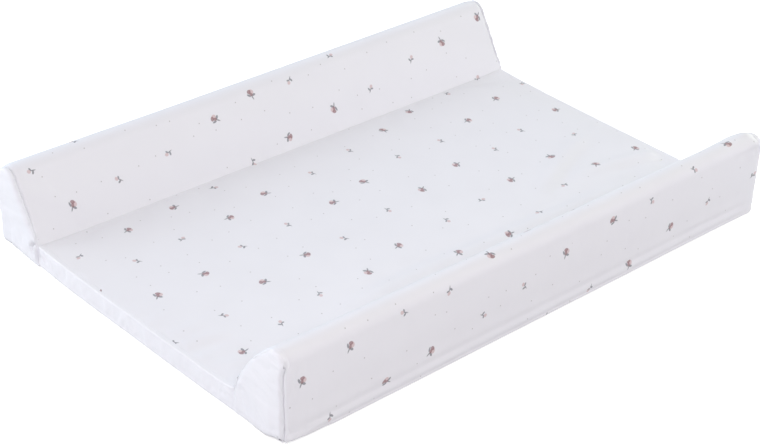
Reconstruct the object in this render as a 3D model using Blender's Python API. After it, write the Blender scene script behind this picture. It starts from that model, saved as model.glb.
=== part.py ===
"""Changing mat with two raised side wedges, each piece modelled by itself.

A coated film cover, welded from a printed top panel, plain end panels and a plain
bottom panel, holds a foam slab, two foam wedges and thin fleece layers over them.
Metres, +Z up. The wedges run along Y, and the origin lies on the ground under the
middle of the mat.
"""
import math

import bmesh
import bpy
from mathutils import Vector

# Sizes of the finished cover
cover_length = 0.700
cover_width = 0.480
pad_thickness = 0.025
ridge_height = 0.0975
wedge_width = 0.072

# Radii of the cover's rounded edges
ridge_radius = 0.019
foot_radius = 0.004
roll_radius = 0.006

# How far the filling swells the cover between its welded ends
ridge_rise = 0.0012
slope_bulge = 0.002
pad_crown = 0.003
swell_length = 0.060
panel_bulge = 0.0012

# Sheets and the room between them
film_thickness = 0.0006
fleece_thickness = 0.003
hem_width = 0.012
clearance = 0.0003

# Welts along the end edges and down the joins of the end panels
welt_leg = 0.0024
welt_height = 0.0011
join_welt_width = 0.004
join_welt_height = 0.0011

# Corners of the bottom panel, seen from below
bottom_corner_radius = 0.007

# Shares that place the points of the outline, the rings along the mat and the welt's ridges
flat_shares = (0.0, 0.3, 0.6, 0.82, 0.94)
slope_shares = (0.06, 0.2, 0.35, 0.5, 0.65, 0.8, 0.94)
ring_shares = (0.0, 0.12, 0.3, 0.6, 1.0)
welt_shoulder_share = 0.6
welt_groove_share = 0.4
welt_crest_shares = (0.7, 0.2)
ridge_steps = 8
foot_steps = 3
roll_steps = 4
corner_steps = 4

# Half sizes and levels that follow from the sizes above
half_length = cover_length / 2
half_width = cover_width / 2
sheet_end = half_length - film_thickness - clearance
foot_x = half_width - wedge_width
hem_level = film_thickness + clearance
skin_depth = film_thickness + clearance
core_depth = skin_depth + fleece_thickness + clearance
slab_top = pad_thickness - core_depth
wedge_base = slab_top + clearance
flat_limit = foot_x - fleece_thickness


def clear_scene():
    """Start from an empty scene."""
    for item in list(bpy.data.objects):
        bpy.data.objects.remove(item, do_unlink=True)


def make_material(name, colour, roughness):
    """A Principled material in one colour."""
    material = bpy.data.materials.new(name)
    material.use_nodes = True
    shader = material.node_tree.nodes["Principled BSDF"]
    shader.inputs["Base Color"].default_value = (*colour, 1.0)
    shader.inputs["Roughness"].default_value = roughness
    shader.inputs["Metallic"].default_value = 0.0
    return material


def new_object(name, mesh_builder, material):
    """Put a finished bmesh into a named object with its faces pointing out."""
    bmesh.ops.recalc_face_normals(mesh_builder, faces=mesh_builder.faces)
    mesh = bpy.data.meshes.new(name)
    mesh_builder.to_mesh(mesh)
    mesh_builder.free()
    mesh.materials.append(material)
    mesh.shade_smooth()
    mesh.set_sharp_from_angle(angle=math.radians(40))
    item = bpy.data.objects.new(name, mesh)
    bpy.context.collection.objects.link(item)
    return item


def arc(centre, radius, start, end, steps):
    """Points round a centre, from one angle to another, both included."""
    points = []
    for step in range(steps + 1):
        angle = start + (end - start) * step / steps
        points.append(centre + radius * Vector((math.cos(angle), math.sin(angle))))
    return points


def mirrored(points):
    """The same section on the other side of the mat, in the opposite order."""
    return [Vector((-point.x, point.y)) for point in reversed(points)]


def swell(share):
    """How full the cover is at a share of the swell length from its end."""
    return 1 - (1 - share) ** 2


def right_outline(fullness):
    """The cover's outer line, from the middle of the pad to the right-hand hem."""
    height = ridge_height + ridge_rise * fullness
    foot = Vector((foot_x, pad_thickness))
    ridge_centre = Vector((half_width - ridge_radius, height - ridge_radius))
    reach = ridge_centre - foot
    lean = math.atan2(reach.y, reach.x) + math.asin(ridge_radius / reach.length)
    run = math.sqrt(reach.length_squared - ridge_radius ** 2)
    along = Vector((math.cos(lean), math.sin(lean)))
    outward = Vector((-along.y, along.x))

    flat_end = foot_x - foot_radius * math.tan(lean / 2)
    flat = []
    for share in flat_shares:
        rise = pad_crown * fullness * (1 - share ** 2)
        flat.append(Vector((flat_end * share, pad_thickness + rise)))

    fillet_centre = Vector((flat_end, pad_thickness + foot_radius))
    quarter = math.pi / 2
    fillet = arc(fillet_centre, foot_radius, -quarter, lean - quarter, foot_steps)

    slope = []
    for share in slope_shares:
        bulge = slope_bulge * fullness * (4 * share * (1 - share)) ** 2
        slope.append(foot + along * run * share + outward * bulge)

    ridge = arc(ridge_centre, ridge_radius, lean + quarter, 0.0, ridge_steps)
    roll_centre = Vector((half_width - roll_radius, hem_level + roll_radius))
    roll = arc(roll_centre, roll_radius, 0.0, -quarter, roll_steps)
    hem = [Vector((half_width - roll_radius - hem_width, hem_level))]
    return {"flat": flat, "fillet": fillet, "slope": slope, "ridge": ridge, "roll": roll, "hem": hem}


def full_outline(fullness):
    """The cover's outer line from hem to hem, over both wedges."""
    right = [point for stretch in right_outline(fullness).values() for point in stretch]
    return mirrored(right)[:-1] + right


def inset(points, depth):
    """The line moved into the mat by a depth, with mitred corners."""
    moved = []
    for index, point in enumerate(points):
        before = points[max(index - 1, 0)]
        after = points[min(index + 1, len(points) - 1)]
        normals = []
        for start, end in ((before, point), (point, after)):
            if (end - start).length > 0:
                way = (end - start).normalized()
                normals.append(Vector((-way.y, way.x)))
        first = normals[0]
        last = normals[-1]
        mitre = (first + last) / (1 + first.dot(last))
        moved.append(point - mitre * depth)
    return moved


def stretch_of(fullness, depth, first_name, last_name):
    """The right-hand line at a depth, from one named stretch to another."""
    stretches = right_outline(fullness)
    line = inset(full_outline(fullness), depth)
    right_total = sum(len(stretch) for stretch in stretches.values())
    index = len(line) - right_total
    bounds = {}
    for name, stretch in stretches.items():
        bounds[name] = (index, index + len(stretch))
        index += len(stretch)
    return line[bounds[first_name][0]:bounds[last_name][1]]


def wedge_line(fullness, depth):
    """Over the right wedge at a depth, from the slab's top at its foot to its outer side."""
    over = stretch_of(fullness, depth, "slope", "ridge")
    slope = right_outline(fullness)["slope"]
    foot = Vector((foot_x, pad_thickness))
    along = (slope[0] - foot).normalized()
    inward = Vector((along.y, -along.x))
    low = foot + inward * depth
    low = low + along * (wedge_base - low.y) / along.y
    return [low] + over + [Vector((over[-1].x, wedge_base))]


def pad_line(fullness, depth):
    """Across the lying surface at a depth, from wedge foot to wedge foot."""
    right = stretch_of(fullness, depth, "flat", "flat")
    right = right + [Vector((flat_limit, pad_thickness - depth))]
    return mirrored(right)[:-1] + right


def ring_places():
    """Where the rings stand along the mat, and how full the cover is there."""
    near = []
    for share in ring_shares:
        near.append((-sheet_end + swell_length * share, swell(share)))
    far = [(-place, fullness) for place, fullness in reversed(near)]
    return near + [(0.0, 1.0)] + far


def loft(sections):
    """A closed body through sections of equal count, each a list of points and its Y."""
    builder = bmesh.new()
    rings = []
    for section, place in sections:
        rings.append([builder.verts.new((point.x, place, point.y)) for point in section])
    count = len(rings[0])
    for near, far in zip(rings, rings[1:]):
        for index in range(count):
            after = (index + 1) % count
            builder.faces.new((near[index], near[after], far[after], far[index]))
    for ring in (rings[0], rings[-1]):
        builder.faces.new(ring)
    return builder


def sheet_loft(outer_line, inner_line, flipped=False):
    """A sheet between two lines that change along the mat, with its end edges closed."""
    builder = bmesh.new()
    rings = []
    for place, fullness in ring_places():
        outer = outer_line(fullness)
        inner = inner_line(fullness)
        if flipped:
            outer = mirrored(outer)
            inner = mirrored(inner)
        outer_verts = [builder.verts.new((point.x, place, point.y)) for point in outer]
        inner_verts = [builder.verts.new((point.x, place, point.y)) for point in inner]
        rings.append((outer_verts, inner_verts))
    for (outer, inner), (next_outer, next_inner) in zip(rings, rings[1:]):
        for line, next_line in ((outer, next_outer), (inner, next_inner)):
            for index in range(len(line) - 1):
                after = index + 1
                builder.faces.new((line[index], line[after], next_line[after], next_line[index]))
        for index in (0, -1):
            builder.faces.new((outer[index], inner[index], next_inner[index], next_outer[index]))
    for outer, inner in (rings[0], rings[-1]):
        for index in range(len(outer) - 1):
            after = index + 1
            builder.faces.new((outer[index], outer[after], inner[after], inner[index]))
    return builder


def printed_top_panel(material):
    """One film from hem to hem, over both wedges and the lying surface."""
    builder = sheet_loft(full_outline, lambda fullness: inset(full_outline(fullness), film_thickness))
    return new_object("printed_top_panel", builder, material)


def bottom_panel(material):
    """The flat film that the mat rests on, under the hems, with rounded corners."""
    radius = bottom_corner_radius
    corner = Vector((half_width - roll_radius - radius, half_length - radius))
    outline = []
    for number, (side, end) in enumerate(((1, 1), (-1, 1), (-1, -1), (1, -1))):
        centre = Vector((corner.x * side, corner.y * end))
        start = number * math.pi / 2
        outline += arc(centre, radius, start, start + math.pi / 2, corner_steps)
    builder = bmesh.new()
    face = builder.faces.new([builder.verts.new((point.x, point.y, 0.0)) for point in outline])
    raised = bmesh.ops.extrude_face_region(builder, geom=[face])
    top = [item for item in raised["geom"] if isinstance(item, bmesh.types.BMVert)]
    bmesh.ops.translate(builder, vec=(0.0, 0.0, film_thickness), verts=top)
    return new_object("bottom_panel", builder, material)


def fleece_base_layer(material):
    """The soft layer between the slab and the film of the lying surface."""
    low_depth = skin_depth + fleece_thickness
    builder = sheet_loft(
        lambda fullness: pad_line(fullness, skin_depth),
        lambda fullness: pad_line(fullness, low_depth),
    )
    return new_object("fleece_base_layer", builder, material)


def fleece_wrap(side_name, flipped, material):
    """The soft layer over one wedge, from the slab at its foot to its outer side."""
    low_depth = skin_depth + fleece_thickness
    builder = sheet_loft(
        lambda fullness: wedge_line(fullness, skin_depth),
        lambda fullness: wedge_line(fullness, low_depth),
        flipped,
    )
    return new_object("fleece_wrap_" + side_name, builder, material)


def foam_wedge(side_name, flipped, material):
    """The foam bar inside one wedge, standing on the slab."""
    sections = []
    for place, fullness in ring_places():
        section = wedge_line(fullness, core_depth)
        sections.append((mirrored(section) if flipped else section, place))
    return new_object("foam_wedge_" + side_name, loft(sections), material)


def foam_base_slab(material):
    """The foam sheet under the whole mat, crowned between the wedges."""
    sections = []
    for place, fullness in ring_places():
        roll = stretch_of(fullness, skin_depth, "roll", "roll")
        shoulder = Vector((roll[0].x, slab_top))
        right = [shoulder] + roll
        sections.append((pad_line(fullness, core_depth) + right + mirrored(right), place))
    return new_object("foam_base_slab", loft(sections), material)


def end_outline(first_name, last_name):
    """The cover's right-hand line at its welded end, between two named stretches."""
    return stretch_of(0.0, 0.0, first_name, last_name)


def end_panel(name, outline, end, material):
    """A film panel across one end: flat along its edges, and swelled a little inside them."""
    builder = bmesh.new()
    face = builder.faces.new([builder.verts.new((point.x, half_length * end, point.y)) for point in outline])
    face.normal_update()
    if face.normal.y * end < 0:
        face.normal_flip()
    margin = welt_leg + clearance
    ramp = roll_radius - margin - clearance
    for thickness, depth in ((margin, 0.0), (ramp, panel_bulge)):
        bmesh.ops.inset_individual(builder, faces=[face], thickness=thickness, depth=depth, use_even_offset=True)
    mesh = bpy.data.meshes.new(name)
    builder.to_mesh(mesh)
    builder.free()
    mesh.materials.append(material)
    item = bpy.data.objects.new(name, mesh)
    bpy.context.collection.objects.link(item)
    shell = item.modifiers.new("film", "SOLIDIFY")
    shell.thickness = film_thickness
    shell.offset = -1.0
    return item


def cap_outline():
    """Outline of a wedge's end cap, from its join at the foot round to the bottom."""
    join = foot_x + clearance / 2
    over = end_outline("slope", "roll")
    return [Vector((join, pad_thickness))] + over + [Vector((join, hem_level))]


def strip_outline():
    """Outline of the low strip between the two end caps."""
    join = foot_x - clearance / 2
    right = [Vector((join, pad_thickness)), Vector((join, hem_level))]
    return mirrored(right) + right


def sweep(line, section, end):
    """A closed body: a section of outward and endward distances, swept along an end line."""
    builder = bmesh.new()
    rings = []
    for outward, endward in section:
        moved = inset(line, -outward)
        place = (half_length + endward) * end
        rings.append([builder.verts.new((point.x, place, point.y)) for point in moved])
    count = len(rings)
    for index in range(count):
        ring = rings[index]
        following = rings[(index + 1) % count]
        for step in range(len(line) - 1):
            builder.faces.new((ring[step], ring[step + 1], following[step + 1], following[step]))
    for step in (0, -1):
        builder.faces.new([ring[step] for ring in rings])
    return builder


def edge_welt(end_name, end, material):
    """The double-ridged welt over the corner between the top panel and the end panels."""
    right = end_outline("flat", "roll")
    right = right[:len(right) - roll_steps // 2]
    line = mirrored(right)[:-1] + right
    low = clearance
    crest = clearance + welt_height
    shoulder = clearance + welt_height * welt_shoulder_share
    groove = clearance + welt_height * welt_groove_share
    far_crest, near_crest = [-welt_leg * share for share in welt_crest_shares]
    section = (
        (low, -welt_leg),
        (shoulder, -welt_leg),
        (crest, far_crest),
        (crest, near_crest),
        (groove, groove),
        (near_crest, crest),
        (far_crest, crest),
        (-welt_leg, shoulder),
        (-welt_leg, low),
        (low, low),
    )
    return new_object("edge_welt_" + end_name, sweep(line, section, end), material)


def join_welt(side_name, side, end_name, end, material):
    """The short upright welt over the join of an end cap and the end strip."""
    half = join_welt_width / 2
    low = half_length + clearance
    middle = Vector((foot_x, low))
    section = []
    for step in range(corner_steps + 1):
        angle = math.pi * step / corner_steps
        section.append(middle + Vector((half * math.cos(angle), join_welt_height * math.sin(angle))))
    top = pad_thickness - welt_leg - clearance
    builder = bmesh.new()
    rings = []
    for level in (hem_level, top):
        rings.append([builder.verts.new((point.x * side, point.y * end, level)) for point in section])
    count = len(section)
    for index in range(count):
        after = (index + 1) % count
        builder.faces.new((rings[0][index], rings[0][after], rings[1][after], rings[1][index]))
    for ring in rings:
        builder.faces.new(ring)
    return new_object("join_welt_" + side_name + "_" + end_name, builder, material)


def build():
    """Make every piece of the mat."""
    clear_scene()
    printed_film = make_material("printed_film", (0.86, 0.85, 0.88), 0.45)
    plain_film = make_material("plain_film", (0.88, 0.88, 0.90), 0.42)
    base_film = make_material("base_film", (0.84, 0.84, 0.86), 0.55)
    welt_film = make_material("welt_film", (0.90, 0.90, 0.92), 0.38)
    fleece = make_material("fleece", (0.87, 0.87, 0.86), 0.95)
    foam = make_material("foam", (0.82, 0.80, 0.70), 0.90)

    printed_top_panel(printed_film)
    bottom_panel(base_film)
    foam_base_slab(foam)
    fleece_base_layer(fleece)
    sides = (("left", -1), ("right", 1))
    ends = (("front", -1), ("back", 1))
    for side_name, side in sides:
        foam_wedge(side_name, side < 0, foam)
        fleece_wrap(side_name, side < 0, fleece)
    for end_name, end in ends:
        end_panel("end_strip_" + end_name, strip_outline(), end, plain_film)
        edge_welt(end_name, end, welt_film)
        for side_name, side in sides:
            outline = cap_outline() if side > 0 else mirrored(cap_outline())
            end_panel("end_cap_" + side_name + "_" + end_name, outline, end, plain_film)
            join_welt(side_name, side, end_name, end, welt_film)


build()
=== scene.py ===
# %% [markdown]
# # A changing mat with two raised sides
# The mat is a foam slab with a foam wedge along each long side, in a cover of thin coated
# film. The cover is welded from one printed top panel, plain end panels and a plain
# bottom panel. A double-ridged welt runs along the weld at both ends.
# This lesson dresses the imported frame: each soft piece is made again as what it is, a
# film, a fleece or a foam, and then the mat gets its finishes, its light and its camera.
# Every length is in metres, and the frame says where a piece goes.

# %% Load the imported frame
import math

import bmesh
import bpy
import numpy as np
from mathutils import Matrix, Vector, noise


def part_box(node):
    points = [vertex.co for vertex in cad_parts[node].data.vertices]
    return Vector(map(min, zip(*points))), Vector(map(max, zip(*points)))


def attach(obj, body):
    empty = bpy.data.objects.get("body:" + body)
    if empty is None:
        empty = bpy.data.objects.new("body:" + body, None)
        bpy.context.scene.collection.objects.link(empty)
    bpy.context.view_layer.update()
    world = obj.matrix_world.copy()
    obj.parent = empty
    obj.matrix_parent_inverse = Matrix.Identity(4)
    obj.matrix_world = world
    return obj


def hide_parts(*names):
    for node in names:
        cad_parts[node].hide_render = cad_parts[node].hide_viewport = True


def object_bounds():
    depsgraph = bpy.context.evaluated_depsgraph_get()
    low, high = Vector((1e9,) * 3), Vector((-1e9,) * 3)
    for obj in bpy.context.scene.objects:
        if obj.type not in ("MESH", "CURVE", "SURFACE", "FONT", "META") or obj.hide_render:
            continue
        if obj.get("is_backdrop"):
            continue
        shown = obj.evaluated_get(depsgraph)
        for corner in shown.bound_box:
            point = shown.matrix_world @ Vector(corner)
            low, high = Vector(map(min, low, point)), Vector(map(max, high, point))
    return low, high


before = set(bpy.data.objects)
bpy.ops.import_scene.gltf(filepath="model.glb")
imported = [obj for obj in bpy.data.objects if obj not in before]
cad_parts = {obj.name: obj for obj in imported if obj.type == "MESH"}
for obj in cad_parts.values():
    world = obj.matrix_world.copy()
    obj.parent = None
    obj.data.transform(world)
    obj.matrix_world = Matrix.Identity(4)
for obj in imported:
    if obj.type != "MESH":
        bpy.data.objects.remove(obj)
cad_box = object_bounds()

print("nodes in the frame:", len(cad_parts))

# %% [markdown]
# ## The camera
# A camera could be dragged until the picture looks right. Here its place was worked out
# from straight lines of the mat whose real lengths are known, so the numbers are an
# azimuth, an elevation, a distance, the point on the floor that it looks at, a small roll
# and a lens. A camera looks along its own -Z, so its Z axis points back at the eye.

# %% Set the camera at the photograph's angle
picture_width = 760
focal_pixels = 1925.3
sensor_width = 36.0
azimuth = math.radians(46.163)
elevation = math.radians(30.754)
roll = math.radians(2.949)
distance = 2.17895
looks_at = Vector((-0.01052, 0.00083, 0.0))


def camera_axes():
    """The camera's right, up and back directions."""
    back = Vector((
        math.sin(azimuth) * math.cos(elevation),
        -math.cos(azimuth) * math.cos(elevation),
        math.sin(elevation),
    ))
    level_right = Vector((math.cos(azimuth), math.sin(azimuth), 0.0))
    level_up = level_right.cross(-back)
    right = level_right * math.cos(roll) + level_up * math.sin(roll)
    up = level_up * math.cos(roll) - level_right * math.sin(roll)
    return right, up, back


camera = bpy.data.objects.new("camera", bpy.data.cameras.new("camera"))
bpy.context.collection.objects.link(camera)
camera.data.sensor_width = sensor_width
camera.data.lens = focal_pixels / picture_width * sensor_width
camera.data.clip_start = 0.05
camera.data.clip_end = 30.0
camera_right, camera_up, camera_back = camera_axes()
camera.matrix_world = Matrix((camera_right, camera_up, camera_back)).transposed().to_4x4()
camera.matrix_world.translation = looks_at + camera_back * distance
bpy.context.scene.camera = camera
print("lens", round(camera.data.lens, 2), "mm")

# %% [markdown]
# ## The mat's outline
# Cut across, the cover is one line: flat over the pad, a tight crease at the wedge's foot,
# a slope, a round ridge, an upright side, a small roll and a hem underneath. The left-hand
# slope is as good as straight, and the right-hand one is arched.
# Each wedge keeps its own numbers, because hand-filled foam never comes out the same on
# both sides. `fullness` is 0 at the welded ends, where the film is held flat, and 1 where
# the filling can push the film out.

# %% Sizes that the frame gives, and the wedges' own
top_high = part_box("printed_top_panel")[1]
strip_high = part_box("end_strip_front")[1]
half_width = top_high.x
film_end = top_high.y
half_length = 0.350
foot_reach = 0.072
pad_thickness = strip_high.z
film_thickness = 0.0006
film_gap = 0.0003
fleece_thickness = 0.003
hem_level = film_thickness + film_gap
swell_length = 0.060
pad_crown = 0.0032
crease_depth = 0.0009
crease_width = 0.0009
roll_radius = 0.0024
hem_width = 0.012

# height at the ends, and how much higher the middle is; radius of the ridge's round; width
# at the base; radius of the slope's wide arc; how far the filling swells the slope
left_wedge = {
    "height": 0.0973, "rise": 0.0011, "radius": 0.0172,
    "base": 0.0720, "arch": 3.0, "bulge": 0.0022,
}
right_wedge = {
    "height": 0.1042, "rise": -0.0013, "radius": 0.0134,
    "base": 0.0722, "arch": 0.142, "bulge": 0.0010,
}
wedges = {-1: left_wedge, 1: right_wedge}
side_bulge = 0.0013
# level, width and height of the waves that run along the upright sides
side_waves = [
    (0.0580, 0.0180, 0.0009), (0.0380, 0.0070, -0.0003), (0.0265, 0.0060, 0.0005),
    (0.0180, 0.0036, -0.0012), (0.0115, 0.0034, 0.0010), (0.0050, 0.0024, -0.0010),
]
print("half width", round(half_width, 4), "film ends at", round(film_end, 4))

# %% [markdown]
# ### The line itself
# One function draws half of the line from a wedge's numbers, and the other half is its
# mirror image. The stretches keep their names, so a later step can ask where the ridge or
# the foot starts. Points stand closer together where the line turns sharply.

# %% Draw one half of the outline
# How many steps each stretch is drawn with; for the foot, each point's distance from the
# crease, first over the pad and then, below zero, up the slope
fine_foot = (0.0026, 0.0017, 0.0010, 0.0005, 0.0002, 0.0, -0.0005, -0.0014)
fine_steps = {"flat": 30, "foot": fine_foot, "slope": 20, "ridge": 15, "side": 24, "roll": 5, "hem": 2}
plain_steps = {"flat": 8, "foot": (0.0026, 0.0), "slope": 6, "ridge": 8, "side": 2, "roll": 3, "hem": 1}
# above 1, the steps of a stretch crowd together towards one end of it
flat_crowding = 1.3
slope_crowding = 1.15
side_crowding = 1.4


def arc(centre, radius, start, end, steps):
    """Points round a centre from one angle to another, both included."""
    points = []
    for step in range(steps + 1):
        angle = start + (end - start) * step / steps
        points.append(centre + radius * Vector((math.cos(angle), math.sin(angle))))
    return points


def slope_arc(foot, centre, radius, arch):
    """Centre and angles of the wide arc from the foot to the ridge's own round."""
    reach = centre - foot
    way = reach.normalized()
    along = (arch ** 2 - (arch - radius) ** 2 + reach.length_squared) / (2 * reach.length)
    across = math.sqrt(arch ** 2 - along ** 2)
    middle = foot + way * along + Vector((way.y, -way.x)) * across
    low, high = foot - middle, centre - middle
    return middle, math.atan2(low.y, low.x), math.atan2(high.y, high.x)


def half_outline(wedge, fullness, steps):
    """Stretches of the outline from the middle of the pad to the hem, by name."""
    radius = wedge["radius"]
    height = wedge["height"] + wedge["rise"] * fullness
    foot = Vector((half_width - wedge["base"], pad_thickness))
    centre = Vector((half_width - radius, height - radius))
    middle, foot_angle, ridge_angle = slope_arc(foot, centre, radius, wedge["arch"])
    along = Vector((math.sin(foot_angle), -math.cos(foot_angle)))
    quarter = math.pi / 2
    depth = crease_depth * fullness
    corner = foot - along * (depth / along.y)

    def on_pad(x):
        crown = pad_crown * fullness * (1 - (x / corner.x) ** 2)
        return Vector((x, pad_thickness + crown - depth * math.exp((x - corner.x) / crease_width)))

    flat = []
    for step in range(steps["flat"]):
        share = 1 - (1 - step / steps["flat"]) ** flat_crowding
        flat.append(on_pad((corner.x - steps["foot"][0]) * share))
    crease = []
    for gap in steps["foot"]:
        crease.append(on_pad(corner.x - gap) if gap >= 0 else corner - along * gap)
    slope = []
    for step in range(1, steps["slope"]):
        share = (step / steps["slope"]) ** slope_crowding
        angle = foot_angle + (ridge_angle - foot_angle) * share
        swelling = wedge["bulge"] * fullness * (4 * share * (1 - share)) ** 2
        way = Vector((math.cos(angle), math.sin(angle)))
        slope.append(middle + (wedge["arch"] + swelling) * way)
    ridge = arc(centre, radius, ridge_angle, 0.0, steps["ridge"])
    roll_centre = Vector((half_width - roll_radius, hem_level + roll_radius))
    side = []
    for step in range(1, steps["side"]):
        share = 1 - (1 - step / steps["side"]) ** side_crowding
        level = centre.y + (roll_centre.y - centre.y) * share
        swelling = side_bulge * 4 * share * (1 - share)
        for place, width, size in side_waves:
            swelling += size * math.exp(-((level - place) / width) ** 2)
        side.append(Vector((half_width + swelling * fullness, level)))
    turn = arc(roll_centre, roll_radius, 0.0, -quarter, steps["roll"])
    hem = []
    for step in range(1, steps["hem"] + 1):
        hem.append(Vector((roll_centre.x - hem_width * step / steps["hem"], hem_level)))
    return {
        "flat": flat, "foot": crease, "slope": slope, "ridge": ridge,
        "side": side, "roll": turn, "hem": hem,
    }


def joined(stretches, names=None):
    """The named stretches as one list of points."""
    return [point for name in (names or stretches) for point in stretches[name]]


def mirrored(points):
    """The same line on the other side of the mat, in the opposite order."""
    return [Vector((-point.x, point.y)) for point in reversed(points)]


def full_outline(fullness, steps):
    """The cover's line from the left hem to the right hem."""
    left = joined(half_outline(left_wedge, fullness, steps))
    right = joined(half_outline(right_wedge, fullness, steps))
    return mirrored(left)[:-1] + right


def path_lengths(points):
    """How far along the line each point is, measured from the first."""
    lengths = [0.0]
    for before, after in zip(points, points[1:]):
        lengths.append(lengths[-1] + (after - before).length)
    return lengths


def resampled(points, spacing):
    """The same line with evenly spaced points."""
    lengths = path_lengths(points)
    count = max(2, round(lengths[-1] / spacing))
    result = []
    index = 0
    for step in range(count + 1):
        target = lengths[-1] * step / count
        while index < len(points) - 2 and lengths[index + 1] < target:
            index += 1
        span = lengths[index + 1] - lengths[index]
        share = (target - lengths[index]) / span
        result.append(points[index].lerp(points[index + 1], min(1.0, share)))
    return result


def line_normals(points):
    """The outward direction at each point of a line that runs from left to right."""
    normals = []
    for index in range(len(points)):
        before = points[max(index - 1, 0)]
        after = points[min(index + 1, len(points) - 1)]
        way = (after - before).normalized()
        normals.append(Vector((-way.y, way.x)))
    return normals


def stretch_start(side, name):
    """How far from the middle of the flat film a stretch of the outline starts."""
    stretches = half_outline(wedges[side], 0.0, fine_steps)
    names = list(stretches)
    before = joined(stretches, names[:names.index(name)]) + stretches[name][:1]
    return path_lengths(before)[-1]


def fullness_at(place):
    """How full the cover is at a place along the mat."""
    share = min(1.0, max(0.0, (film_end - abs(place)) / swell_length))
    return 1 - (1 - share) ** 2


end_line = full_outline(0.0, fine_steps)
end_lengths = path_lengths(end_line)
middle_column = len(end_line) // 2
cut_width = end_lengths[-1]
print("the top panel is cut", round(cut_width, 3), "wide and", round(2 * film_end, 3), "long")

# %% [markdown]
# ## How the real mat lies
# A soft mat is never as straight as its drawing. The slab pushes the low strip of the
# front end out, the back end is drawn in between the wedges, and the right-hand side
# leans out at the bottom. The near corner has curled up from the floor and is tucked in.
# Towards the back the left-hand ridge rises, and the very end of the right-hand one
# drops. One function moves every piece in the same way, so the pieces stay joined along
# their welds.

# %% Say where a point of the straight mat comes to lie
# places along an edge, and how far the mat stands out there, both in millimetres
front_places = (
    -240, -220, -200, -168, -120, -60, 0, 60, 120,
    163, 168, 180, 191, 200, 213, 222, 229, 236,
)
front_push = (
    -2.0, -3.6, -2.6, -0.4, 1.6, 2.0, 1.6, 1.7, 1.4,
    0.7, -0.6, -1.4, -1.2, -0.2, -0.2, -0.2, -1.5, -2.2,
)
side_places = (-350, -340, -325, -305, -250, -170, -80, 0, 100, 250, 340)
side_push = (1.0, 2.0, 3.3, 3.7, 3.3, 3.1, 2.3, 1.9, 1.4, 0.4, 0.0)
back_places = (-240, -200, -168, -140, -80, 0, 140, 168, 200, 240)
back_push = (2.9, 3.1, 2.2, 0.0, -1.8, -2.4, -1.4, -0.2, 3.6, 4.8)
# where the ends' and the sides' lists fade out: along the mat, upwards and across it
end_reach = 0.070
low_levels = (0.010, 0.085)
side_from = 0.150
# the near corner: how far it curls up and is tucked in, and how far that reaches
corner_lift = 0.0014
corner_tuck = 0.0012
corner_reach = 0.045
curl_reach = 0.030
curl_levels = (0.002, 0.050)
tuck_across = (0.215, 0.236)
tuck_level = 0.009
# the gathered fold at the right-hand foot of the front end
gather_lift = 0.0022
gather_place = 0.166
gather_width = 0.014
gather_from = 0.325
gather_sets_in = (0.004, 0.024)
gather_fades = (0.030, 0.070)
# the ridges towards the back, and the very end of the right-hand one
far_rise = 0.0028
near_drop = 0.0004
ridge_across = (0.168, 0.220)
ridge_level = 0.098
ridge_from = -0.150
end_drop = 0.0062
drop_from = 0.333
drop_across = (0.168, 0.200)
drop_levels = (0.070, 0.104)


def smooth_step(value, low, high):
    """0 below low, 1 above high, and a soft rise between them."""
    share = min(1.0, max(0.0, (value - low) / (high - low)))
    return share * share * (3 - 2 * share)


def looked_up(place, places, values):
    """A length in metres from a pair of lists in millimetres."""
    return float(np.interp(place * 1000, places, values)) / 1000


def side_shift(x, y, z, low):
    """How far the right-hand side leans out, less what the near corner is tucked in."""
    leaning = looked_up(y, side_places, side_push) * smooth_step(x, side_from, half_width) * low
    tucked = corner_tuck * math.exp(-((y + half_length) / corner_reach) ** 2)
    return leaning - tucked * smooth_step(x, *tuck_across) * (1 - smooth_step(z, 0.0, tuck_level))


def front_lift(x, y, z):
    """How far the curled near corner and the gathered right-hand foot stand up."""
    away = math.hypot((x - half_width) / corner_reach, (y + half_length) / curl_reach)
    curled = corner_lift * math.exp(-away ** 2) * (1 - smooth_step(z, *curl_levels))
    gathered = math.exp(-((x - gather_place) / gather_width) ** 2)
    gathered *= smooth_step(-y, gather_from, half_length)
    band = smooth_step(z, *gather_sets_in) * (1 - smooth_step(z, *gather_fades))
    return curled + gather_lift * gathered * band


def back_drop(x, y, z):
    """How far the very end of the right-hand ridge drops."""
    by_end = smooth_step(y, drop_from, half_length) * smooth_step(x, *drop_across)
    return end_drop * by_end * smooth_step(z, *drop_levels)


def as_it_lies(point):
    """Where a point of the straight mat comes to lie on the real one."""
    x, y, z = point
    near_end = smooth_step(abs(y), half_length - end_reach, half_length)
    low = 1 - smooth_step(z, *low_levels)
    if y < 0:
        shift = -looked_up(x, front_places, front_push) * near_end * low
    else:
        shift = looked_up(x, back_places, back_push) * near_end
    backward = smooth_step(y, ridge_from, half_length)
    raised = far_rise * smooth_step(-x, *ridge_across) - near_drop * smooth_step(x, *ridge_across)
    lift = front_lift(x, y, z) - back_drop(x, y, z) + raised * backward * z / ridge_level
    return Vector((x + side_shift(x, y, z, low), y + shift, z + lift))


# %% [markdown]
# ## Helpers for sheets and bars
# A sheet starts as Blender's own grid, and each of its points is then carried to its
# place. A bar starts as the same grid, rolled up until its two long edges meet, with
# its ends filled. Working this way leaves the faces in neat rows, which cloth simulation
# and folds both need.

# %% Make sheets and bars from a grid
film_map = "flat_pattern"


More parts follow.
